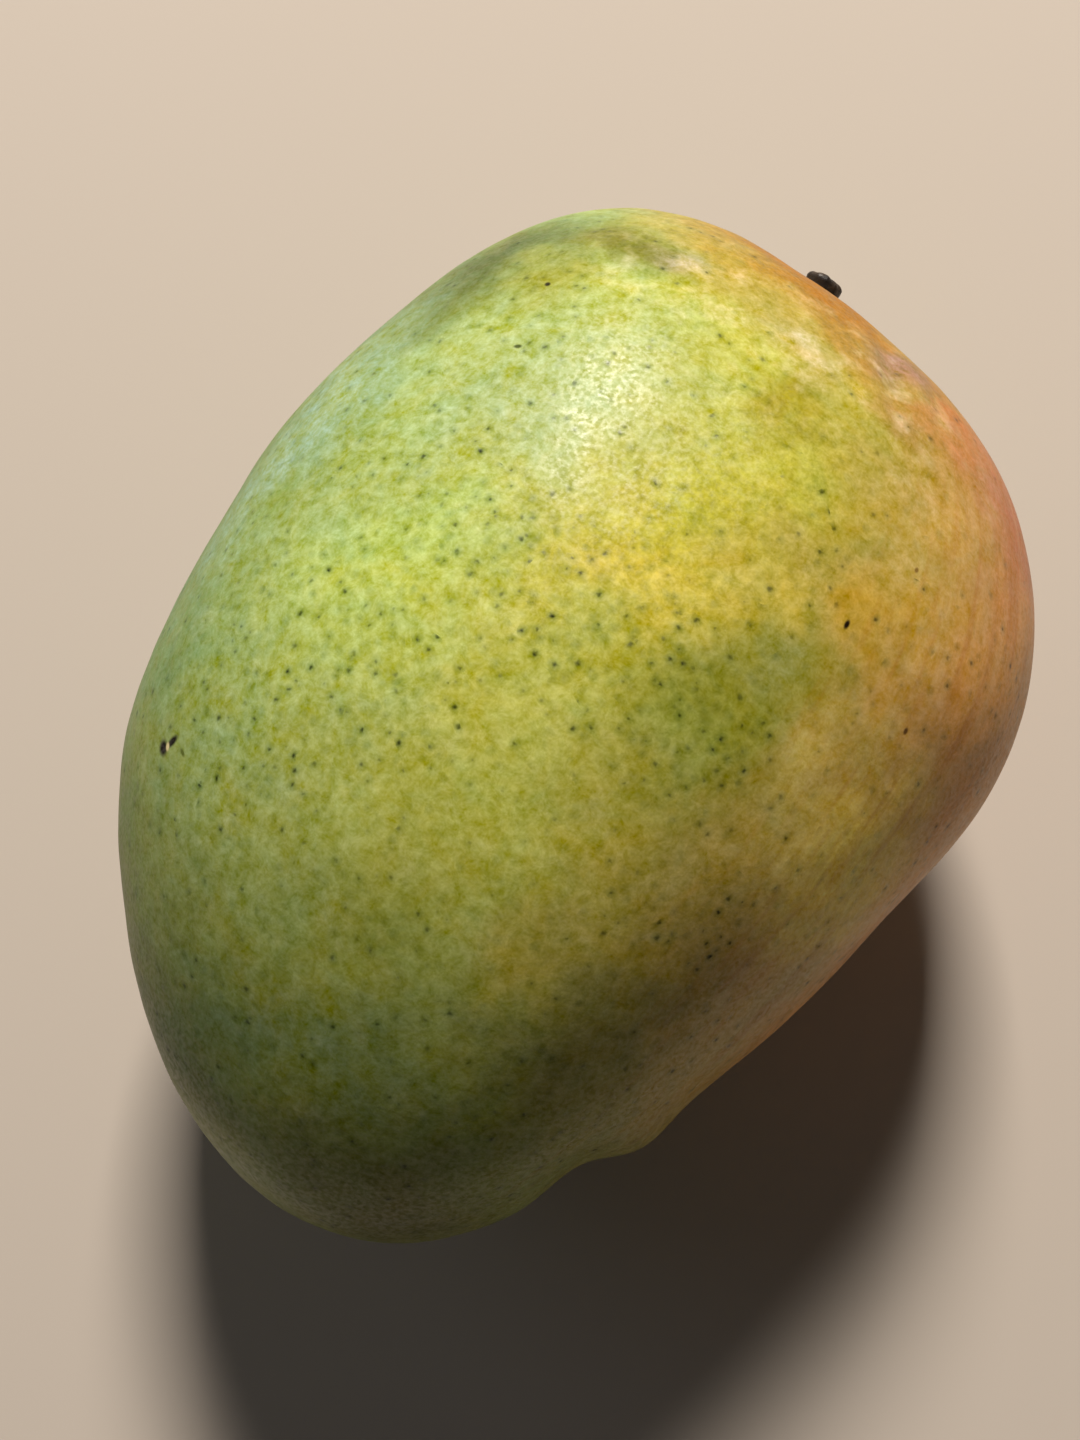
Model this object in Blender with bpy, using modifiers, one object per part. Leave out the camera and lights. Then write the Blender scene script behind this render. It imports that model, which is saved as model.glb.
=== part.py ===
"""A whole mango lying on one cheek, with the short woody stub of its stalk.

The fruit is one solid, because skin, flesh and stone grew together. The stub is a piece
of its own, sunk in a plain socket in the shallow hollow at the stalk end.

Frame: metres, +Z up. The stalk end points to +Y and the tip to -Y, the belly with its
small beak to +X and the back to -X. The origin is on the surface that the fruit lies on,
under the middle of the whole model's box.
"""

import math

import bmesh
import bpy
import numpy as np
from mathutils import Matrix, Vector

MM = 0.001

# The rim, where the fruit is widest: its radii in millimetres from the fruit's middle,
# one every 22.5 degrees, from the belly (+X) round by the stalk (+Y), back and tip.
RIM_RADII = (
    51.0, 58.0, 63.0, 64.0,  # belly, up to its shoulder
    65.0, 67.0, 59.5, 53.0,  # stalk, shoulder of the back
    50.5, 53.0, 59.0, 66.0,  # back, down towards the tip
    73.0, 67.0, 54.5, 49.5,  # tip, then the straight run of the belly
)
THICKNESS = 92.0  # from cheek to cheek, at the middle
FULLNESS = 2.1  # power of the cross-section's curve: 2 is an ellipse, more is fuller
STALK_END_FULLNESS = 0.12  # share by which the stalk end is thicker and the tip thinner
FLAT_DEPTH = 0.7  # how far the lower cheek is pressed flat where it rests

# The stalk sits just past the rim's stalk radius, a little above the rim.
STALK_HEADING = 88.0  # degrees round the rim from the belly
STALK_LIFT = 8.0  # degrees above the rim
STALK_TILT = 14.0  # degrees by which the stub points up from level
STUB_TIP = 5.0  # height of the stub's end over the floor of the hollow
STUB_ROOT = 2.6  # depth of its root below that floor
STUB_RADIUS = 2.7
NECK_RADIUS = 2.2
SOCKET_GAP = 0.3  # clearance between the root and its socket
SLIVER = 0.02  # edges that the socket's cut leaves shorter than this are closed up

# Small forms on the skin: heading round the rim and lift above it in degrees, height in
# millimetres (less than nothing for a hollow), and half widths in degrees, along the rim
# and across it.
SMALL_FORMS = {
    "beak": (310.0, 0.0, 0.8, 4.0, 11.0),
    "sinus": (301.0, 0.0, -2.2, 5.0, 15.0),
    "stalk hollow": (STALK_HEADING, STALK_LIFT, -2.0, 8.0, 8.0),
}

MERIDIANS = 60  # facets round the line from stalk to tip
RINGS = 72  # facets along it
RING_CROWDING = 0.2  # how much closer the rings lie at the stalk end
STUB_SIDES = 24


def direction(heading, lift):
    """Unit vector from the fruit's middle, by its heading and lift in degrees."""
    heading = math.radians(heading)
    lift = math.radians(lift)
    return Vector((
        math.cos(lift) * math.cos(heading),
        math.cos(lift) * math.sin(heading),
        math.sin(lift),
    ))


def rim_radius(heading):
    """Radius of the rim in millimetres: the smoothest wave through RIM_RADII."""
    waves = np.fft.rfft(RIM_RADII) / len(RIM_RADII)
    share = np.full(len(waves), 2.0)
    share[[0, -1]] = 1.0
    turns = np.multiply.outer(heading, np.arange(len(waves)))
    return (share * waves * np.exp(1j * turns)).real.sum(axis=-1)


def skin_points(directions):
    """Points of the skin in millimetres from the fruit's middle, for unit directions.

    The rim and the half thickness are joined by a superellipse,
    (level / rim)^n + (height / half thickness)^n = 1, and each small form adds a bell
    curve of its height to the radius.
    """
    heading = np.arctan2(directions[:, 1], directions[:, 0])
    lift = np.arcsin(np.clip(directions[:, 2], -1.0, 1.0))
    half_thickness = THICKNESS / 2 * (1 + STALK_END_FULLNESS * directions[:, 1] ** 3)
    level_share = np.cos(lift) / rim_radius(heading)
    height_share = np.abs(directions[:, 2]) / half_thickness
    radius = (level_share ** FULLNESS + height_share ** FULLNESS) ** (-1 / FULLNESS)
    for form_heading, form_lift, height, along, across in SMALL_FORMS.values():
        turn = (np.degrees(heading) - form_heading + 180.0) % 360.0 - 180.0
        round_rim = turn * np.cos(lift) / along
        over_rim = (np.degrees(lift) - form_lift) / across
        radius += height * np.exp(-round_rim ** 2 - over_rim ** 2)
    return directions * radius[:, None]


def plain_material(name, color, roughness):
    """Material with one colour and one roughness."""
    material = bpy.data.materials.new(name)
    material.use_nodes = True
    shader = material.node_tree.nodes["Principled BSDF"]
    shader.inputs["Base Color"].default_value = (*color, 1.0)
    shader.inputs["Roughness"].default_value = roughness
    shader.inputs["Metallic"].default_value = 0.0
    return material


def make_fruit(collection, holder):
    """The fruit: a sphere with its pole at the stalk, drawn out to the skin's form."""
    mesh = bpy.data.meshes.new("fruit")
    sphere = bmesh.new()
    bmesh.ops.create_uvsphere(sphere, u_segments=MERIDIANS, v_segments=RINGS, radius=1.0)
    directions = np.array([vertex.co.normalized() for vertex in sphere.verts])

    polar = np.arccos(np.clip(directions[:, 2], -1.0, 1.0))
    around = np.arctan2(directions[:, 1], directions[:, 0])
    polar -= RING_CROWDING * np.sin(polar)
    directions = np.stack([
        np.sin(polar) * np.cos(around),
        np.sin(polar) * np.sin(around),
        np.cos(polar),
    ], axis=1)
    pole = direction(STALK_HEADING, STALK_LIFT)
    turn = np.array(Vector((0, 0, 1)).rotation_difference(pole).to_matrix())
    points = skin_points(directions @ turn.T)

    floor = points[:, 2].min() + FLAT_DEPTH
    points[:, 2] = np.maximum(points[:, 2], floor)
    for vertex, point in zip(sphere.verts, points * MM):
        vertex.co = point
    sphere.to_mesh(mesh)
    sphere.free()
    mesh.shade_smooth()
    mesh.materials.append(plain_material("mango skin", (0.52, 0.50, 0.12), 0.45))

    fruit = bpy.data.objects.new("fruit", mesh)
    fruit.parent = holder
    collection.objects.link(fruit)
    return fruit


def turned_piece(name, profile, collection, holder):
    """A piece turned round the stalk's axis from (radius, height) points in mm.

    It stands on the floor of the stalk hollow and leans up by STALK_TILT.
    """
    mesh = bpy.data.meshes.new(name)
    points = [(radius * MM, 0.0, height * MM) for radius, height in profile]
    mesh.from_pydata(points, [(i, i + 1) for i in range(len(points) - 1)], [])
    piece = bpy.data.objects.new(name, mesh)
    screw = piece.modifiers.new("turn", "SCREW")
    screw.steps = STUB_SIDES
    screw.render_steps = STUB_SIDES
    screw.use_merge_vertices = True
    screw.merge_threshold = 0.00001

    outward = direction(STALK_HEADING, STALK_LIFT)
    root_point = skin_points(np.array([outward]))[0] * MM
    axis = direction(STALK_HEADING, STALK_TILT)
    piece.matrix_local = (
        Matrix.Translation(root_point)
        @ Vector((0, 0, 1)).rotation_difference(axis).to_matrix().to_4x4()
    )
    piece.parent = holder
    collection.objects.link(piece)
    return piece


def make_stalk_stub(collection, holder):
    """The stub: a neck that flares to a blunt end with a rounded edge."""
    edge = STUB_RADIUS * 0.35
    edge_angles = [math.radians(angle) for angle in (90, 60, 30, 0)]
    profile = [(0.0, STUB_TIP)]
    profile += [
        (STUB_RADIUS - edge + edge * math.cos(angle), STUB_TIP - edge + edge * math.sin(angle))
        for angle in edge_angles
    ]
    profile += [
        ((STUB_RADIUS + NECK_RADIUS) / 2, STUB_TIP * 0.45),
        (NECK_RADIUS, 0.0),
        (NECK_RADIUS, -STUB_ROOT),
        (0.0, -STUB_ROOT),
    ]
    stub = turned_piece("stalk_stub", profile, collection, holder)
    stub.data.materials.append(plain_material("dry stalk", (0.035, 0.022, 0.014), 0.6))
    return stub


def cut_socket(fruit, collection, holder):
    """The hole for the stub's root: a round cutter a little fatter and deeper than it."""
    radius = NECK_RADIUS + SOCKET_GAP
    profile = [
        (0.0, STUB_TIP),
        (radius + STUB_TIP * 0.2, STUB_TIP),
        (radius, 0.0),
        (radius, -STUB_ROOT - SOCKET_GAP),
        (0.0, -STUB_ROOT - SOCKET_GAP),
    ]
    cutter = turned_piece("socket_cutter", profile, collection, holder)
    cutter.hide_render = True
    cutter.display_type = "WIRE"
    socket = fruit.modifiers.new("socket", "BOOLEAN")
    socket.operation = "DIFFERENCE"
    socket.solver = "EXACT"
    socket.object = cutter
    weld = fruit.modifiers.new("slivers along the cut", "WELD")
    weld.merge_threshold = SLIVER * MM


def stand_over_origin(pieces, holder):
    """Moves the holder so that the model's box stands on the origin at its middle."""
    bpy.context.view_layer.update()
    depsgraph = bpy.context.evaluated_depsgraph_get()
    corners = []
    for piece in pieces:
        evaluated = piece.evaluated_get(depsgraph)
        corners += [evaluated.matrix_world @ vertex.co for vertex in evaluated.data.vertices]
    corners = np.array(corners)
    low = corners.min(axis=0)
    high = corners.max(axis=0)
    holder.location = (-(low[0] + high[0]) / 2, -(low[1] + high[1]) / 2, -low[2])


def new_collection(name):
    """A collection linked to the scene."""
    collection = bpy.data.collections.new(name)
    bpy.context.scene.collection.children.link(collection)
    return collection


def main():
    """Clears the scene and builds the mango."""
    for old in list(bpy.data.objects):
        bpy.data.objects.remove(old)
    parts = new_collection("mango")
    cutters = new_collection("cutters")
    holder = bpy.data.objects.new("mango_middle", None)
    parts.objects.link(holder)

    fruit = make_fruit(parts, holder)
    stub = make_stalk_stub(parts, holder)
    cut_socket(fruit, cutters, holder)
    stand_over_origin([fruit, stub], holder)


main()
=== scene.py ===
"""A ripening mango on a plain pale floor: its looks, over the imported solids."""

import math

import bpy
import numpy as np
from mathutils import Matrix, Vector


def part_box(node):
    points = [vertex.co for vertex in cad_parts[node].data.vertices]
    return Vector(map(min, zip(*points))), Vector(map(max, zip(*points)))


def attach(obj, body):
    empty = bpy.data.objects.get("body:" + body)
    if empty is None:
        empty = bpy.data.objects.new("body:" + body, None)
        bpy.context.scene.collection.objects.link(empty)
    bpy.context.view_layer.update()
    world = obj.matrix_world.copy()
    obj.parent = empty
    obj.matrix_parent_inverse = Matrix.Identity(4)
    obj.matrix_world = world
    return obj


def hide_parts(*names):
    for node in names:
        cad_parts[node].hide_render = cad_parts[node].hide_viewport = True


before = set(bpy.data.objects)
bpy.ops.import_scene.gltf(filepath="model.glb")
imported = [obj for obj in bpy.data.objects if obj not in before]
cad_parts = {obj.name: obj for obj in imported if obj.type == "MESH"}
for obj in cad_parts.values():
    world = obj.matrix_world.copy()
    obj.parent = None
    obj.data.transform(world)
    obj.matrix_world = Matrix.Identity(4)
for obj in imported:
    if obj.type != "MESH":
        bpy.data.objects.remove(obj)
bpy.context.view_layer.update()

# The fruit: one body of skin, flesh and stone, so only its skin shows. The skin is tough,
# thin and waxy and as uneven as it grew, with a shallow hollow at the stalk, a small beak
# on the belly and a flat spot pressed on the cheek that the fruit lies on.

MM = 0.001
RIM_RADII = (  # the rim, where it is widest: mm from its middle, one every 22.5 degrees
    51.0, 58.0, 63.0, 64.0,  # belly, up to its shoulder
    65.0, 67.0, 59.5, 53.0,  # stalk, shoulder of the back
    50.5, 53.0, 59.0, 66.0,  # back, down towards the tip
    73.0, 67.0, 54.5, 49.5,  # tip, then the straight run of the belly
)
THICKNESS = 92.0  # from cheek to cheek, at the middle
FULLNESS = 2.1  # power of the cross-section's curve: 2 is an ellipse, more is fuller
STALK_END_FULLNESS = 0.12  # share by which the stalk end is thicker and the tip thinner
FLAT_DEPTH = 0.7  # how far the lower cheek is pressed flat where it rests
STALK_HEADING = 88.0  # degrees round the rim from the belly
STALK_LIFT = 8.0  # degrees above the rim
SMALL_FORMS = {  # heading, lift, rise in mm, and half widths in degrees along and across
    "beak": (310.0, 0.0, 0.8, 4.0, 11.0),
    "sinus": (301.0, 0.0, -2.2, 5.0, 15.0),
    "stalk hollow": (STALK_HEADING, STALK_LIFT, -2.0, 8.0, 8.0),
}


def direction(heading, lift):
    """Unit vector at a heading round the rim from the belly, and a lift above the rim."""
    heading = math.radians(heading)
    lift = math.radians(lift)
    return np.array([
        math.cos(lift) * math.cos(heading),
        math.cos(lift) * math.sin(heading),
        math.sin(lift),
    ])


def skin_radius(directions):
    """Distance in mm from the fruit's middle to its skin, for an array of unit directions.

    The rim is the smoothest wave through its radii, sixteen to the turn. The rim and the
    half thickness are joined by a superellipse, (level / rim)^n + (height / half)^n = 1,
    and each small form adds rise * exp(-along^2 - across^2).
    """
    heading = np.arctan2(directions[..., 1], directions[..., 0])
    lift = np.arcsin(np.clip(directions[..., 2], -1.0, 1.0))
    waves = np.fft.rfft(RIM_RADII) / len(RIM_RADII)
    share = np.full(len(waves), 2.0)
    share[[0, -1]] = 1.0
    turns = np.multiply.outer(heading, np.arange(len(waves)))
    rim = (share * waves * np.exp(1j * turns)).real.sum(axis=-1)
    half = THICKNESS / 2 * (1 + STALK_END_FULLNESS * directions[..., 1] ** 3)
    level = np.cos(lift) / rim
    height = np.abs(directions[..., 2]) / half
    radius = (level ** FULLNESS + height ** FULLNESS) ** (-1 / FULLNESS)
    for form_heading, form_lift, rise, along, across in SMALL_FORMS.values():
        turn = (np.degrees(heading) - form_heading + 180.0) % 360.0 - 180.0
        bell = (turn * np.cos(lift) / along) ** 2 + ((np.degrees(lift) - form_lift) / across) ** 2
        radius = radius + rise * np.exp(-bell)
    return radius


def swells(points, layers):
    """Smooth unevenness in mm, a sum over layers of height, wavelength, seed and count. A
    layer is that many plane cosine waves of its wavelength, in drawn directions and phases."""
    total = 0.0
    for height, wavelength, seed, count in layers:
        draw = np.random.default_rng(seed)
        heading = draw.normal(size=(count, 3))
        heading /= np.linalg.norm(heading, axis=1, keepdims=True)
        phase = draw.uniform(0.0, 2 * np.pi, count)
        waves = np.cos(points @ heading.T * (2 * np.pi / wavelength) + phase)
        total = total + height * (waves.sum(axis=-1) * math.sqrt(2 / count))
    return total


def closed_surface(name, rings, start, end):
    """Mesh of rings of points, an array (ring, around, 3) in metres, joined by quads and
    closed by a fan of triangles to one point at each end."""
    count, around = rings.shape[:2]
    points = np.vstack([rings.reshape(-1, 3), start, end])
    ring = np.arange(count - 1)[:, None] * around
    side = np.arange(around)
    after = (side + 1) % around
    quads = np.stack([
        ring + side, ring + around + side, ring + around + after, ring + after,
    ], axis=-1).reshape(-1, 4)
    last = (count - 1) * around
    start_fan = np.stack([np.full(around, len(points) - 2), side, after], axis=-1)
    end_fan = np.stack([np.full(around, len(points) - 1), last + after, last + side], axis=-1)
    mesh = bpy.data.meshes.new(name)
    mesh.from_pydata(points.tolist(), [], quads.tolist() + start_fan.tolist() + end_fan.tolist())
    mesh.update()
    mesh.shade_smooth()
    piece = bpy.data.objects.new(name, mesh)
    bpy.context.scene.collection.objects.link(piece)
    return piece


SKIN_RINGS = 232
SKIN_AROUND = 400
RING_CROWDING = 0.045  # by which the rings lie closer at both ends
PIT_RADIUS = 2.35  # the pit in the stalk hollow that the stub grows out of
PIT_DEPTH = 2.8
PIT_RINGS = 5
LIP_WIDTH = 0.9  # of the raised corky lip round the pit
LIP_RISE = 0.25
SETTLE_REACH = 0.2  # radians from the pit's edge, over which the unevenness sets in
UNEVENNESS = (  # height and wavelength in mm, seed, number of waves
    (0.10, 30.0, 3, 24),
    (0.05, 13.0, 4, 24),
    (0.012, 5.0, 5, 60),
)

pole = direction(STALK_HEADING, STALK_LIFT)
pit_edge = PIT_RADIUS / float(skin_radius(pole))
sweep = np.linspace(0.0, 1.0, SKIN_RINGS + 1)[:-1]
sweep = sweep - RING_CROWDING * np.sin(2 * np.pi * sweep)
polar = np.concatenate([
    np.linspace(0.0, pit_edge, PIT_RINGS + 1)[1:],
    np.full(PIT_RINGS, pit_edge),
    pit_edge + (np.pi - pit_edge) * sweep,
])
sunk = np.concatenate([
    np.full(PIT_RINGS, PIT_DEPTH),
    np.linspace(PIT_DEPTH, 0.0, PIT_RINGS + 1)[:-1],
    np.zeros(SKIN_RINGS),
])
around = np.linspace(0.0, 2 * np.pi, SKIN_AROUND, endpoint=False)
local = np.stack([
    np.sin(polar)[:, None] * np.cos(around),
    np.sin(polar)[:, None] * np.sin(around),
    np.cos(polar)[:, None] * np.ones(SKIN_AROUND),
], axis=-1)
to_pole = np.array(Vector((0, 0, 1)).rotation_difference(Vector(pole)).to_matrix())
directions = local @ to_pole.T
skin = directions * skin_radius(directions)[..., None]
settle = np.clip((polar - pit_edge) / SETTLE_REACH, 0.0, 1.0)[:, None] ** 2
uneven = swells(skin, UNEVENNESS) * settle
from_pit = (polar - pit_edge) * float(skin_radius(pole))
lip = LIP_RISE * np.exp(-(from_pit / LIP_WIDTH) ** 2)[:, None]

# A shallow furrow runs down the shoulder from the stalk end along one meridian, and the
# belly stands up a little beside it: one bell curve taken off across it, another added
# beside, and both fading out at the furrow's ends.
FURROW_TURN = 5.28  # its meridian, in radians round the stalk's axis
FURROW_START = 0.26  # and where it runs, in radians from that axis
FURROW_END = 0.74
FURROW_WIDTH = 1.7
FURROW_DEPTH = 0.45
BELLY_RISE = 0.35
BELLY_ASIDE = 2.2  # how far beside the furrow the belly's rise lies, in furrow widths
BELLY_WIDTH = 1.5  # and how wide it is, in the same
aside = (around - FURROW_TURN) * np.sin(polar)[:, None] * np.linalg.norm(skin, axis=-1)
aside = aside / FURROW_WIDTH
belly_rise = BELLY_RISE * np.exp(-((aside - BELLY_ASIDE) / BELLY_WIDTH) ** 2)
run = np.clip((polar - FURROW_START) / (FURROW_END - FURROW_START), 0.0, 1.0)
fade = np.sin(np.pi * run)[:, None] ** 2
fold = (belly_rise - FURROW_DEPTH * np.exp(-aside ** 2)) * fade
relief = uneven + lip + fold - sunk[:, None]
skin = skin + directions * relief[..., None]
skin_low = THICKNESS / 2 - FLAT_DEPTH
skin[..., 2] = np.maximum(skin[..., 2], -skin_low)

packed_low, packed_high = (np.array(corner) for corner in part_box("fruit"))
skin_middle = (skin.min(axis=(0, 1)) + skin.max(axis=(0, 1))) / 2 * MM
MIDDLE = (packed_low + packed_high) / 2 - skin_middle
MIDDLE[2] = packed_low[2] + skin_low * MM
pit_floor = pole * (float(skin_radius(pole)) - PIT_DEPTH) * MM + MIDDLE
far_end = -pole * float(skin_radius(-pole)) * MM + MIDDLE
fruit = closed_surface("fruit_skin", skin * MM + MIDDLE, pit_floor, far_end)

# A place on the skin along its meridians, from the stalk to the far end, for the streaks
# that follow them: a tube of 50 mm radius, so the pattern meets itself all round.
MERIDIAN_RADIUS = 50.0
tube = np.stack([
    np.cos(around) * np.ones((len(polar), 1)),
    np.sin(around) * np.ones((len(polar), 1)),
    polar[:, None] * np.ones(SKIN_AROUND),
], axis=-1).reshape(-1, 3) * MERIDIAN_RADIUS
tube = np.vstack([tube, [(0, 0, 0), (0, 0, np.pi * MERIDIAN_RADIUS)]])
meridians = fruit.data.attributes.new("meridians", "FLOAT_VECTOR", "POINT")
meridians.data.foreach_set("vector", tube.astype(np.float32).ravel())


def linear(hex_color):
    """Linear RGBA from an sRGB hex value."""
    value = np.array([int(hex_color[i:i + 2], 16) for i in (1, 3, 5)]) / 255
    value = np.where(value <= 0.04045, value / 12.92, ((value + 0.055) / 1.055) ** 2.4)
    return (*value.tolist(), 1.0)


def add(tree, kind, inputs=None, **settings):
    """Adds a shader node with its settings. Each input, by name or number, is given a plain
    value, or a socket or node to link from; a node gives its first output in use."""
    node = tree.nodes.new("ShaderNode" + kind)
    for name, value in settings.items():
        setattr(node, name, value)
    for name, value in (inputs or {}).items():
        if isinstance(value, bpy.types.Node):
            value = next(output for output in value.outputs if output.enabled)
        if isinstance(value, bpy.types.NodeSocket):
            tree.links.new(value, node.inputs[name])
        else:
            node.inputs[name].default_value = value
    return node


def new_material(name):
    """A material with an empty node tree, and that tree."""
    material = bpy.data.materials.new(name)
    material.use_nodes = True
    tree = material.node_tree
    tree.nodes.clear()
    return material, tree


def inside_ball(tree, where, centre, half_sizes, turn=0.0):
    """How far inside a ball a place is, from 0 at its edge to 1 at its centre. The ball has
    a half size for each axis, and is turned round +Z by degrees."""
    squeezed = add(tree, "Mapping", {
        "Vector": where, "Location": centre, "Scale": half_sizes,
        "Rotation": (0.0, 0.0, math.radians(turn)),
    }, vector_type="TEXTURE")
    ball = add(tree, "TexGradient", {"Vector": squeezed}, gradient_type="SPHERICAL")
    return ball.outputs["Fac"]


# Mango skin: pigment under a thin cuticle of wax, grown, not worked. The pigment changes
# slowly from green to orange, the wax over it makes it paler where it is thick and gives a
# dull sheen broken into grains, and lenticels, the breathing pores, stand in it as dark dots.
# Places and sizes are mm from the fruit's middle, and turns are degrees round +Z.

BACK_GREEN = "#718e4e"
ACROSS = (  # from back to belly: the x where each colour starts, and where it is full
    ("yellow green", -48, -24, "#a2b365"),
    ("greenish yellow", -26, 0, "#b0b24e"),
    ("olive yellow", 6, 24, "#a49742"),
    ("ochre", 20, 36, "#c0a150"),
    ("orange", 30, 47, "#d59b53"),
)
TIP_GREEN = ("#808a42", -20, -58)  # and the y where it starts, and where it is full
# Some patches paint light and shade into the colour, as their names say.
PATCHES = (  # name, centre, half sizes, turn, colour, strength
    ("green shoulder of the back", (-31, 37, 26), (26, 14, 28), 60, "#505f2a", 0.95),
    ("bloom on the back", (-40, 8, 29), (12, 34, 22), -6, "#92ad82", 0.9),
    ("bloom over the cheek", (-14, 20, 43), (24, 20, 16), 20, "#a2b270", 0.9),
    ("lime streak", (-37, -3, 32), (4, 9, 14), 0, "#879c3a", 0.7),
    ("lime on the back cheek", (-17, -8, 44), (22, 13, 18), 60, "#b4c561", 0.8),
    ("olive bruise of the shoulder", (-19, 45, 34), (9, 5, 12), 20, "#726f32", 0.7),
    ("yellow beside the bloom", (-22, 36, 37), (8, 7, 12), 30, "#919132", 0.7),
    ("gold", (9, 16, 44), (27, 12, 18), 48, "#b3ac2a", 0.95),
    ("gold on the belly side", (19, 17, 42), (11, 11, 14), 20, "#a9983e", 0.8),
    ("amber in the gold", (10, 7, 45), (18, 8, 14), 25, "#d4bb40", 0.6),
    ("orange by the stalk", (3, 57, 21), (38, 20, 36), -16, "#a06806", 1.0),
    ("lime rub", (11, 33, 40), (9, 8, 12), 0, "#978a12", 0.95),
    ("lime round the pale spot", (-13, 46, 35), (15, 9, 14), -10, "#6e6e0c", 0.9),
    ("pale spot", (-9, 46, 36), (7, 5, 10), 0, "#a2986c", 0.9),
    ("buff shoulder", (5, 42, 37), (15, 8, 13), -20, "#aa9850", 0.85),
    ("amber shoulder", (12, 48, 32), (9, 6, 12), -25, "#a47e32", 0.85),
    ("pinkish furrow", (18, 51, 27), (7, 9, 12), -25, "#987660", 0.85),
    ("tan above the furrow", (20, 41, 34), (8, 6, 10), -25, "#a2763e", 0.6),
    ("pinkish rim", (34, 42, 14), (26, 26, 28), 0, "#b46048", 0.8),
    ("orange streak of the rim", (26, 47, 24), (6, 11, 14), -35, "#ba7338", 0.8),
    ("deep yellow spot", (29, 16, 39), (10, 9, 12), 0, "#c39b2c", 0.7),
    ("green cheek", (20, -1, 43), (22, 14, 20), 30, "#8a8f2e", 0.8),
    ("greyish green in the cheek", (22, 4, 42), (7, 6, 10), 0, "#90965a", 0.4),
    # the belly's yellow, brightened by painted light on the belly side
    ("yellow belly with painted light", (40, -6, 27), (17, 19, 22), 0, "#ffe668", 0.85),
    # olive, darkened by painted shade on the underside of the belly
    ("olive with painted shade under the belly", (39, -26, 15), (9, 24, 14), -27, "#b8a860", 0.75),
    ("ochre low on the cheek", (19, -34, 36), (12, 9, 15), 0, "#a2953b", 0.8),
    ("olive low on the cheek", (2, -40, 37), (10, 7, 10), 0, "#747e30", 0.6),
    # the skin's green, darkened by painted shade below the cheek
    ("green with painted shade below the cheek", (-1, -54, 29), (24, 10, 15), 12, "#5e6e46", 0.6),
    # painted shade: a dark band under the cheek, where the shade of the turning surface falls
    ("painted shade band under the cheek", (25, -36, 30), (25, 8, 12), 50, "#6a6838", 0.6),
    ("blue green end", (-16, -60, 18), (22, 17, 24), 0, "#536636", 0.7),
    # green, darkened by painted shade on the low edge of the back
    ("green with painted shade low on the back", (-35, -43, 15), (10, 18, 16), 43, "#6d822e", 0.65),
    ("brown tip", (14, -65, 11), (26, 14, 24), -20, "#5e5630", 0.6),
)

skin_material, tree = new_material("waxy_mango_skin")
coordinates = add(tree, "TexCoord")
place = add(tree, "Mapping", {
    "Vector": coordinates.outputs["Object"],
    "Scale": (1 / MM, 1 / MM, 1 / MM),
    "Location": (-MIDDLE / MM).tolist(),
})

# The place pushed about by noise, by a few mm in waves of 14 mm and less in finer ones, so
# that no colour ends on a clean curve.
DRIFT_SIZE = 14.0
DRIFT_REACH = 18.0  # times the noise, which seldom strays 0.2 from its middle
HALF = (0.5, 0.5, 0.5)  # the middle of a noise's colour
drift_noise = add(tree, "TexNoise", {
    "Vector": place, "Scale": 1 / DRIFT_SIZE, "Detail": 3.0, "Roughness": 0.6,
})
drift = add(tree, "VectorMath", {0: drift_noise.outputs["Color"], 1: HALF},
            operation="SUBTRACT")
drift = add(tree, "VectorMath", {0: drift, "Scale": DRIFT_REACH}, operation="SCALE")
ragged = add(tree, "VectorMath", {0: place, 1: drift}, operation="ADD")
ragged_axes = add(tree, "SeparateXYZ", {0: ragged})

color = linear(BACK_GREEN)
for name, start, full, shade in ACROSS:
    share = add(tree, "MapRange", {
        "Value": ragged_axes.outputs["X"], "From Min": start, "From Max": full,
    }, interpolation_type="SMOOTHSTEP", label=name)
    color = add(tree, "Mix", {0: share, 6: color, 7: linear(shade)}, data_type="RGBA")

shade, start, full = TIP_GREEN
share = add(tree, "MapRange", {
    "Value": ragged_axes.outputs["Y"], "From Min": start, "From Max": full,
}, interpolation_type="SMOOTHSTEP", label="tip green")
color = add(tree, "Mix", {0: share, 6: color, 7: linear(shade)}, data_type="RGBA")

PATCH_CORE = 0.9  # how far inside its ball a patch is at its full strength
for name, centre, half_sizes, turn, shade, strength in PATCHES:
    inside = inside_ball(tree, ragged, centre, half_sizes, turn)
    share = add(tree, "MapRange", {
        "Value": inside, "From Max": PATCH_CORE, "To Max": strength,
    }, interpolation_type="SMOOTHSTEP", label=name)
    color = add(tree, "Mix", {0: share, 6: color, 7: linear(shade)}, data_type="RGBA")

# Flecks of thick wax, cream, 2 to 4 mm across and faint, but plain on the upper shoulder.
FLECK = "#ecdca4"
FLECK_SPACING = 5.0
FAINT_FLECKS = 0.06
PLAIN_FLECKS = 0.36
UPPER_SHOULDER = ((8, 42, 35), (32, 16, 20))  # centre and half sizes
fleck_noise = add(tree, "TexNoise", {
    "Vector": place, "Scale": 1 / FLECK_SPACING, "Detail": 3.0, "Roughness": 0.6,
    "Distortion": 0.3,
})
flecks = add(tree, "MapRange", {"Value": fleck_noise, "From Min": 0.52, "From Max": 0.70})
fleck_strength = add(tree, "MapRange", {
    "Value": inside_ball(tree, ragged, *UPPER_SHOULDER), "From Max": 0.5,
    "To Min": FAINT_FLECKS, "To Max": PLAIN_FLECKS,
})
share = add(tree, "Math", {0: flecks, 1: fleck_strength}, operation="MULTIPLY")
color = add(tree, "Mix", {0: share, 6: color, 7: linear(FLECK)}, data_type="RGBA")

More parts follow.
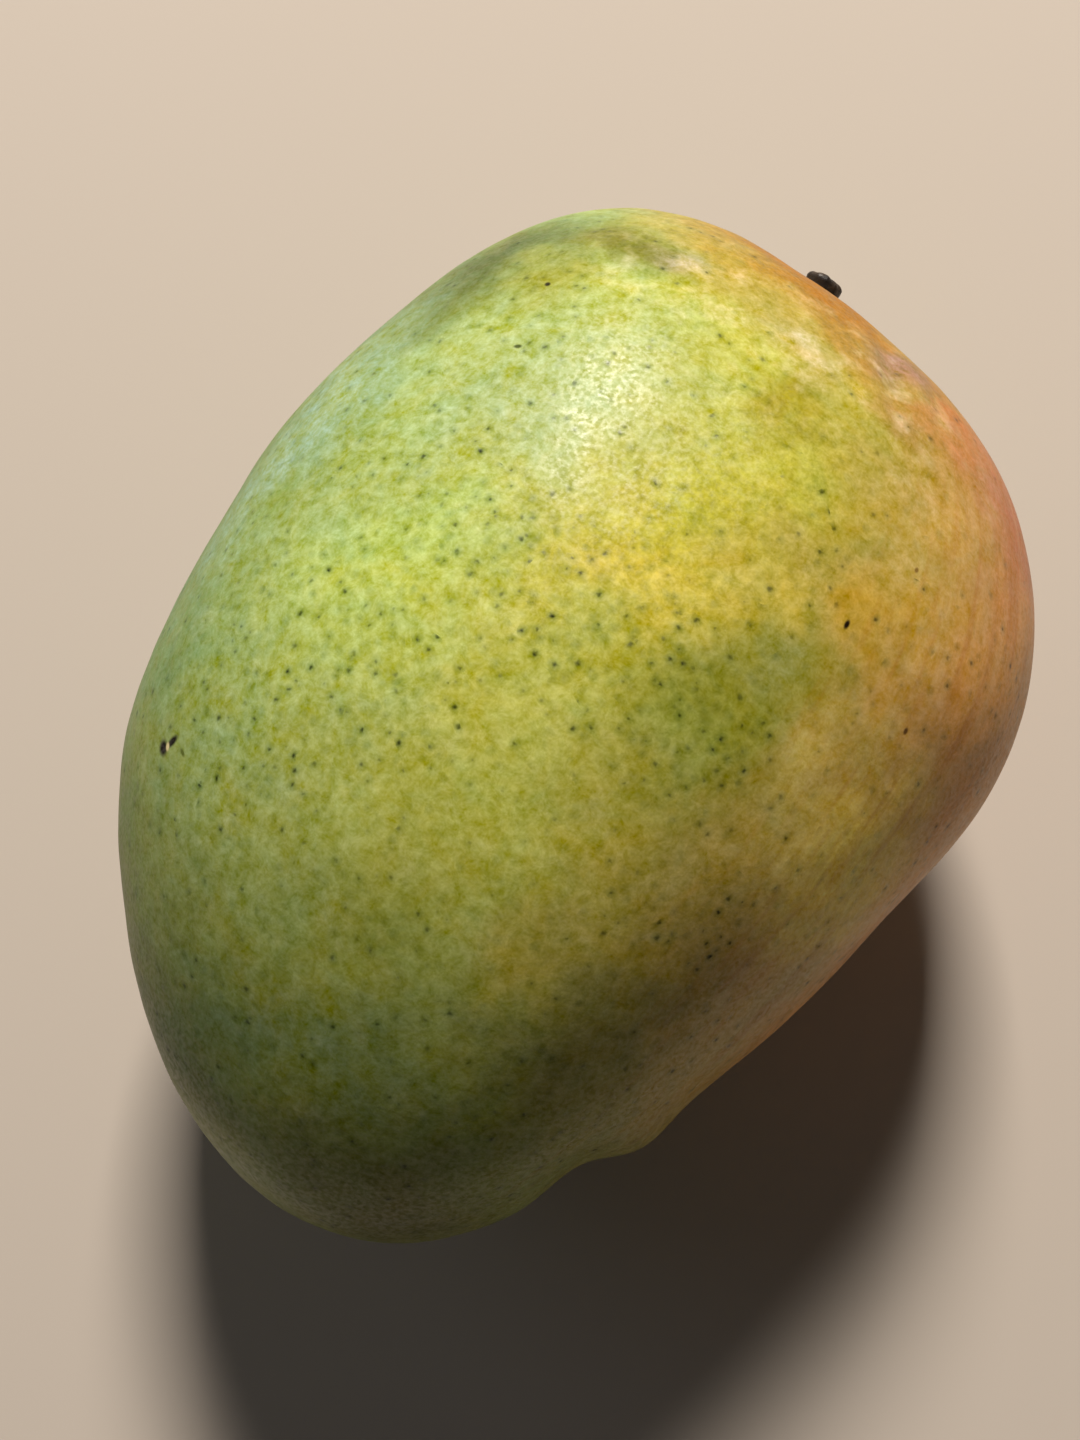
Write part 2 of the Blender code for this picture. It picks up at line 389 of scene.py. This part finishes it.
# Two tints over the colour, each given as what a full swing of its noise changes red, green
# and blue by. Smudges of 8 mm down to 1 mm run from grey green to amber. Mottle of 2 mm down
# to 0.2 mm is paler where the wax is thick and deeper where it is thin, and less so on the
# belly.
SMUDGE = (0.4, 0.0, -1.3)
SMUDGE_SIZE = 8.0
MOTTLE = (1.5, 1.5, 4.7)
MOTTLE_SIZE = 2.2
BELLY_MOTTLE = (0.9, 1.3, 4.2)
BELLY_START = 20.0  # the x where the belly side starts
BELLY_FULL = 40.0  # and where it is reached in full
smudge_noise = add(tree, "TexNoise", {
    "Vector": place, "Scale": 1 / SMUDGE_SIZE, "Detail": 3.0, "Roughness": 0.7,
    "Distortion": 0.5,
})
smudges = add(tree, "Math", {0: smudge_noise, 1: 0.5}, operation="SUBTRACT")
tint = add(tree, "VectorMath", {0: smudges, 1: SMUDGE, 2: (1.0, 1.0, 1.0)},
           operation="MULTIPLY_ADD")
wax_noise = add(tree, "TexNoise", {
    "Vector": place, "Scale": 1 / MOTTLE_SIZE, "Detail": 3.4, "Roughness": 0.9,
    "Distortion": 0.2,
})
belly = add(tree, "MapRange", {
    "Value": ragged_axes.outputs["X"], "From Min": BELLY_START, "From Max": BELLY_FULL,
}, interpolation_type="SMOOTHSTEP")
swing = add(tree, "Mix", {0: belly, 4: MOTTLE, 5: BELLY_MOTTLE}, data_type="VECTOR")
wax = add(tree, "Math", {0: wax_noise, 1: 0.5}, operation="SUBTRACT")
tint = add(tree, "VectorMath", {0: wax, 1: swing, 2: tint}, operation="MULTIPLY_ADD")
color = add(tree, "VectorMath", {0: color, 1: tint}, operation="MULTIPLY")

# Streaks down the belly side, along the meridians: about 2 mm wide and eight times as long.
# Of their noise the higher part is orange and the lower part pale.
STREAK_WIDTH = 2.2
STREAK_SQUEEZE = 0.12  # of the pattern along the meridians
STREAKS = (  # name, noise where it starts and is full, colour, strength
    ("orange streaks", 0.50, 0.85, "#b06a28", 0.7),
    ("pale streaks", 0.50, 0.15, "#dcb484", 0.4),
)
along = add(tree, "Attribute", attribute_name="meridians")
squeezed = add(tree, "Mapping", {
    "Vector": along.outputs["Vector"], "Scale": (1.0, 1.0, STREAK_SQUEEZE),
})
streaks = add(tree, "TexNoise", {
    "Vector": squeezed, "Scale": 1 / STREAK_WIDTH, "Detail": 3.0, "Roughness": 0.6,
})
for name, start, full, shade, strength in STREAKS:
    share = add(tree, "MapRange", {
        "Value": streaks, "From Min": start, "From Max": full, "To Max": strength,
    }, label=name)
    share = add(tree, "Math", {0: share, 1: belly}, operation="MULTIPLY")
    color = add(tree, "Mix", {0: share, 6: color, 7: linear(shade)}, data_type="RGBA")

# Lenticels: dark dots up to about 0.6 mm across in greener halos of 2 mm, one in some cells
# of a pattern of 1.5 mm cells. They are few round the stalk and down the belly, and crowd and
# darken in zones, given as centre, half sizes and the share of cells that hold one.
LENTICEL = "#4a5230"  # what a full dot leaves of the colour under it
HALO = "#cad4c8"  # and what its halo leaves
LENTICEL_CELL = 1.5
LENTICEL_SHARE = 0.4
LENTICEL_ZONES = (
    ((-20, -20, 40), (28, 20, 24), 0.95),
    ((-15, 3, 45), (20, 16, 16), 0.9),
    ((12, -2, 45), (28, 18, 20), 0.9),
    ((-22, -34, 34), (16, 14, 16), 0.8),
    ((28, -22, 34), (18, 12, 18), 0.8),
)
ZONE_CORE = 0.6  # how far inside its ball a zone holds its full share
BARE_ZONE = ((24, 48, 24), (44, 40, 44))
BARE_SHARE = 0.1
LEAST_REACH = 0.15  # of a dot from its middle, in cells
MOST_REACH = 0.32
HALO_REACH = 0.7
FAINTEST = 0.4  # share of full darkness that the smallest dots have
OUTSIDE_ZONES = 0.7  # and that all have where they aren't crowded
WOBBLE_SIZE = 0.6  # of the noise that keeps the dots from being quite round
WOBBLE_REACH = 0.5  # for a full swing of that noise
crowd = add(tree, "MapRange", {
    "Value": inside_ball(tree, ragged, *BARE_ZONE), "From Min": 0.1, "From Max": 0.5,
    "To Min": LENTICEL_SHARE, "To Max": BARE_SHARE,
})
for centre, half_sizes, most in LENTICEL_ZONES:
    zone = add(tree, "MapRange", {
        "Value": inside_ball(tree, ragged, centre, half_sizes),
        "From Max": ZONE_CORE, "To Max": most,
    })
    crowd = add(tree, "Math", {0: zone, 1: crowd}, operation="MAXIMUM")
wobble_noise = add(tree, "TexNoise", {
    "Vector": place, "Scale": 1 / WOBBLE_SIZE, "Detail": 1.0,
})
wobble = add(tree, "VectorMath", {0: wobble_noise.outputs["Color"], 1: HALF},
             operation="SUBTRACT")
wobble = add(tree, "VectorMath", {0: wobble, "Scale": WOBBLE_REACH}, operation="SCALE")
cell_place = add(tree, "VectorMath", {0: place, 1: wobble}, operation="ADD")
cells = add(tree, "TexVoronoi", {"Vector": cell_place, "Scale": 1 / LENTICEL_CELL})
drawn = add(tree, "SeparateColor", {0: cells.outputs["Color"]})
held = add(tree, "Math", {0: drawn.outputs["Red"], 1: crowd}, operation="LESS_THAN")
dot_reach = add(tree, "MapRange", {
    "Value": drawn.outputs["Green"], "To Min": LEAST_REACH, "To Max": MOST_REACH,
})
drawn_darkness = add(tree, "Math", {0: drawn.outputs["Green"], 1: drawn.outputs["Blue"]},
                     operation="MULTIPLY")
darkness = add(tree, "MapRange", {
    "Value": drawn_darkness, "From Max": 0.6, "To Min": FAINTEST,
})
crowded = add(tree, "MapRange", {
    "Value": crowd, "From Min": LENTICEL_SHARE, "From Max": 0.8, "To Min": OUTSIDE_ZONES,
})
darkness = add(tree, "Math", {0: darkness, 1: crowded}, operation="MULTIPLY")
darkness = add(tree, "Math", {0: darkness, 1: held}, operation="MULTIPLY")
for name, rim, middle, shade in (  # of each its reach, and where it is full, in cells
    ("halo", HALO_REACH, 0.1, HALO),
    ("lenticel", dot_reach, 0.02, LENTICEL),
):
    share = add(tree, "MapRange", {
        "Value": cells.outputs["Distance"], "From Min": rim, "From Max": middle,
    }, interpolation_type="SMOOTHSTEP", label=name)
    share = add(tree, "Math", {0: share, 1: darkness}, operation="MULTIPLY")
    color = add(tree, "Mix", {0: share, 6: color, 7: linear(shade)}, data_type="RGBA",
                blend_type="MULTIPLY")

# Marks on the skin: dry cork round the stub's pit, a scar of two dark ticks with dry tissue
# between them, and small specks. Centre, half sizes, turn, colour.
MARKS = (
    ("cork round the stub", (2.2, 62.2, 8.8), (4.0, 3.0, 4.0), 0, "#c4a27c"),
    ("scar's left tick", (-33.8, -34.2, 27.0), (0.85, 1.4, 5.0), 38, "#15120c"),
    ("scar's right tick", (-32.9, -33.2, 28.7), (0.65, 1.3, 5.0), -24, "#1a150d"),
    ("scar's dry middle", (-33.25, -33.9, 27.8), (0.34, 0.7, 5.0), 30, "#e0d09a"),
    ("tick beside the scar", (-30.8, -33.8, 29.9), (0.3, 0.8, 5.0), 55, "#5e6a2c"),
    ("black tick", (27.6, 13.7, 40.1), (0.4, 0.85, 5.0), 0, "#1c1006"),
    ("speck by the stalk end", (-22.3, 34.3, 37.5), (0.5, 0.5, 1.0), 0, "#2c2812"),
    ("smudge", (-20.4, 24.3, 40.7), (0.7, 0.4, 1.0), 20, "#4c5626"),
    ("speck on the belly", (39.1, 8.7, 32.4), (0.35, 0.6, 1.0), 0, "#6a4a24"),
    ("faint speck on the belly", (31.4, 24.6, 36.5), (0.35, 0.5, 1.0), 0, "#86682e"),
)
MARK_CORE = 0.65  # how far inside its ball a mark is in full
for name, centre, half_sizes, turn, shade in MARKS:
    inside = inside_ball(tree, place, centre, half_sizes, turn)
    share = add(tree, "MapRange", {
        "Value": inside, "From Max": MARK_CORE,
    }, interpolation_type="SMOOTHSTEP", label=name)
    color = add(tree, "Mix", {0: share, 6: color, 7: linear(shade)}, data_type="RGBA")

# Relief: the peel's own grain, about half a mm across and a few thousandths of a mm high.
# It breaks the sheen up into grains, brightest on its crests, and the sheen is duller where
# the wax is thick.
GRAIN_SIZE = 0.6
GRAIN_HEIGHT = 0.02  # for a full swing of the noise
WAX_IOR = 1.42
grain = add(tree, "TexNoise", {
    "Vector": place, "Scale": 1 / GRAIN_SIZE, "Detail": 2.0, "Roughness": 0.5,
})
peel = add(tree, "Bump", {"Height": grain, "Strength": 1.0, "Distance": GRAIN_HEIGHT * MM})
sheen = add(tree, "MapRange", {
    "Value": grain, "From Min": 0.40, "From Max": 0.68, "To Min": 0.1, "To Max": 0.6,
})
roughness = add(tree, "MapRange", {
    "Value": wax_noise, "From Min": 0.44, "From Max": 0.56, "To Min": 0.36, "To Max": 0.46,
})
shader = add(tree, "BsdfPrincipled", {
    "Base Color": color, "Roughness": roughness, "Specular IOR Level": sheen,
    "Normal": peel, "IOR": WAX_IOR,
})
add(tree, "OutputMaterial", {"Surface": shader})
fruit.data.materials.append(skin_material)
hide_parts("fruit")
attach(fruit, "root")

# The stub of the stalk: what is left of the fruit's own stem. It is dry dark wood, snapped
# off short, with a rounded rim of bark round a shallow hollow end, and it grows out of the
# pit in the stalk hollow.

STALK_TILT = 14.0  # degrees by which the stub points up from level
STUB_TIP = 5.0  # height of its end over the floor of the stalk hollow, in mm
STUB_ROOT = 2.6  # depth of its root below that floor
STUB_RADIUS = 2.7
NECK_RADIUS = 2.2
FLARE_POWER = 1.6  # of the curve from neck to end: more keeps the flare nearer the end
RIM_ROUNDING = 0.75
RIM_SWEEP = 120.0  # degrees that the rim turns, from its side over into the end
END_DIP = 0.55  # how far the snapped end is hollow
STUB_AROUND = 96
SIDE_RINGS = 40
RIM_RINGS = 18
END_RINGS = 20
RIDGES = (  # height in mm, number round the stub, phase, and twist up to the end in radians
    (0.03, 7, 0.6, 0.0),
    (0.025, 11, 2.0, 1.5),
)
KNOBS = (  # height and wavelength in mm, seed, number of waves
    (0.06, 2.6, 11, 24),
    (0.02, 0.9, 12, 24),
)
KNOB_STRETCH = 0.6  # share of the knobs' height that also moves the bark along the stub
SQUEEZE = 0.03  # share by which the end is narrower one way than the other
SQUEEZE_TURN = 1.0  # phase of that, in radians
SHRINKAGE = 0.06  # of the end, down along the stub

side_height = np.linspace(-STUB_ROOT, STUB_TIP - RIM_ROUNDING, SIDE_RINGS)
flare = np.clip(side_height / (STUB_TIP - RIM_ROUNDING), 0.0, 1.0) ** FLARE_POWER
side_radius = NECK_RADIUS + (STUB_RADIUS - NECK_RADIUS) * flare
rim_turn = np.radians(np.linspace(0.0, RIM_SWEEP, RIM_RINGS)[1:])
rim_radius = STUB_RADIUS - RIM_ROUNDING + RIM_ROUNDING * np.cos(rim_turn)
rim_height = STUB_TIP - RIM_ROUNDING + RIM_ROUNDING * np.sin(rim_turn)
inward = np.linspace(1.0, 0.0, END_RINGS)[1:-1]
end_radius = rim_radius[-1] * inward
end_height = rim_height[-1] - END_DIP * (1 - inward ** 2)
stub_radius = np.concatenate([side_radius, rim_radius, end_radius])
stub_height = np.concatenate([side_height, rim_height, end_height])
turn = np.linspace(0.0, 2 * np.pi, STUB_AROUND, endpoint=False)
stub_rings = np.stack([
    stub_radius[:, None] * np.cos(turn),
    stub_radius[:, None] * np.sin(turn),
    stub_height[:, None] * np.ones(STUB_AROUND),
], axis=-1)
above = np.clip(stub_height / STUB_TIP, 0.0, 1.0)[:, None]
ridges = sum(
    height * np.cos(count * turn + phase + twist * above)
    for height, count, phase, twist in RIDGES
)
knobs = swells(stub_rings, KNOBS)
squeeze = 1.0 - SQUEEZE * above * (1 + np.cos(2 * turn + SQUEEZE_TURN)) / 2
stub_rings[..., :2] *= (squeeze + above * (ridges + knobs) / STUB_RADIUS)[..., None]
stub_rings[..., 2] += above * (KNOB_STRETCH * knobs - SHRINKAGE)

foot = pole * float(skin_radius(pole)) * MM + MIDDLE
axis = Vector(direction(STALK_HEADING, STALK_TILT))
to_axis = np.array(Vector((0, 0, 1)).rotation_difference(axis).to_matrix())
snapped = np.array([0.0, 0.0, stub_rings[-1, :, 2].mean()]) @ to_axis.T * MM + foot
root = np.array([0.0, 0.0, -STUB_ROOT]) @ to_axis.T * MM + foot
stub = closed_surface("stalk_stub_wood", stub_rings[::-1] @ to_axis.T * MM + foot, snapped, root)

# Dry stalk: bark and snapped fibres, almost black where sap dried on them, grey brown where
# the bark is worn, with a dull sheen.
DRIED_SAP = "#18100b"
WOOD_TONES = (  # name, size in mm, noise where it starts and is full, colour, strength
    ("worn bark", 2.6, 0.52, 0.70, "#544230", 0.6),
    ("fibres", 0.35, 0.45, 0.75, "#2c1f16", 0.7),
)
FIBRE_HEIGHT = 0.12  # for a full swing of the noise
wood_material, tree = new_material("dry_stalk_wood")
coordinates = add(tree, "TexCoord")
stub_place = add(tree, "Mapping", {
    "Vector": coordinates.outputs["Object"],
    "Scale": (1 / MM, 1 / MM, 1 / MM),
    "Location": (-foot / MM).tolist(),
})
color = linear(DRIED_SAP)
for name, size, start, full, shade, strength in WOOD_TONES:
    noise = add(tree, "TexNoise", {
        "Vector": stub_place, "Scale": 1 / size, "Detail": 4.0, "Roughness": 0.6,
    }, label=name)
    share = add(tree, "MapRange", {
        "Value": noise, "From Min": start, "From Max": full, "To Max": strength,
    })
    color = add(tree, "Mix", {0: share, 6: color, 7: linear(shade)}, data_type="RGBA")
fibres = noise  # the last of the tones
bark = add(tree, "Bump", {
    "Height": fibres, "Strength": 0.8, "Distance": FIBRE_HEIGHT * MM,
})
shader = add(tree, "BsdfPrincipled", {
    "Base Color": color, "Roughness": 0.45, "Normal": bark,
})
add(tree, "OutputMaterial", {"Surface": shader})
stub.data.materials.append(wood_material)
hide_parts("stalk_stub")
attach(stub, "root")

# The floor: a plain pale sheet of matt card under the fruit.

FLOOR_HALF = 3.0  # metres
CARD = "#bcb1a6"
floor_mesh = bpy.data.meshes.new("floor")
floor_mesh.from_pydata([
    (-FLOOR_HALF, -FLOOR_HALF, 0.0), (FLOOR_HALF, -FLOOR_HALF, 0.0),
    (FLOOR_HALF, FLOOR_HALF, 0.0), (-FLOOR_HALF, FLOOR_HALF, 0.0),
], [], [(0, 1, 2, 3)])
floor = bpy.data.objects.new("floor", floor_mesh)
bpy.context.scene.collection.objects.link(floor)
floor_material, tree = new_material("matt_card")
shader = add(tree, "BsdfPrincipled", {"Base Color": linear(CARD), "Roughness": 0.9})
add(tree, "OutputMaterial", {"Surface": shader})
floor.data.materials.append(floor_material)

# The light: a wide key lamp high beyond the stalk end, so that the tip falls into soft
# shade, a weak cool one over the back, and a dim even room.


def soft_lamp(name, toward, distance, size, power, tint):
    """A square lamp that faces the fruit's middle from a direction."""
    lamp = bpy.data.lights.new(name, "AREA")
    lamp.size = size
    lamp.energy = power
    lamp.color = linear(tint)[:3]
    holder = bpy.data.objects.new(name, lamp)
    toward = Vector(toward).normalized()
    holder.location = Vector(MIDDLE) + toward * distance
    holder.rotation_euler = toward.to_track_quat("Z", "Y").to_euler()
    bpy.context.scene.collection.objects.link(holder)


soft_lamp("key", toward=(-0.32, 0.62, 0.71), distance=1.6, size=0.36, power=40.0,
          tint="#fff7ec")
soft_lamp("back_fill", toward=(-0.9, -0.1, 0.6), distance=1.8, size=1.2, power=2.0,
          tint="#e6eeff")

ROOM = "#f4efe8"
ROOM_STRENGTH = 0.06
world = bpy.data.worlds.new("studio")
world.use_nodes = True
room_light = world.node_tree.nodes["Background"]
room_light.inputs["Color"].default_value = linear(ROOM)
room_light.inputs["Strength"].default_value = ROOM_STRENGTH
bpy.context.scene.world = world
bpy.context.scene.view_settings.view_transform = "Standard"

# The camera: held over the fruit and looking down on its upper cheek from the belly side,
# a little more than its own length away.

CAMERA_AZIMUTH = 30.0
CAMERA_ELEVATION = 75.0
CAMERA_DISTANCE = 0.225
FOCAL_PIXELS = 1696.0
FRAME_HEIGHT = 1440.0
FRUIT_RIGHT = 26.0  # how far the fruit's middle stands right of the frame's, in pixels
FRUIT_UP = 17.6
SENSOR = 36.0

azimuth = math.radians(CAMERA_AZIMUTH)
elevation = math.radians(CAMERA_ELEVATION)
to_camera = Vector((
    math.sin(azimuth) * math.cos(elevation),
    -math.cos(azimuth) * math.cos(elevation),
    math.sin(elevation),
))
camera_data = bpy.data.cameras.new("camera")
camera_data.sensor_fit = "VERTICAL"
camera_data.sensor_height = SENSOR
camera_data.lens = SENSOR * FOCAL_PIXELS / FRAME_HEIGHT
camera_data.shift_x = -FRUIT_RIGHT / FRAME_HEIGHT
camera_data.shift_y = -FRUIT_UP / FRAME_HEIGHT
camera_data.clip_start = 0.01
camera = bpy.data.objects.new("camera", camera_data)
camera.location = Vector(MIDDLE) + to_camera * CAMERA_DISTANCE
camera.rotation_euler = to_camera.to_track_quat("Z", "Y").to_euler()
bpy.context.scene.collection.objects.link(camera)
bpy.context.scene.camera = camera
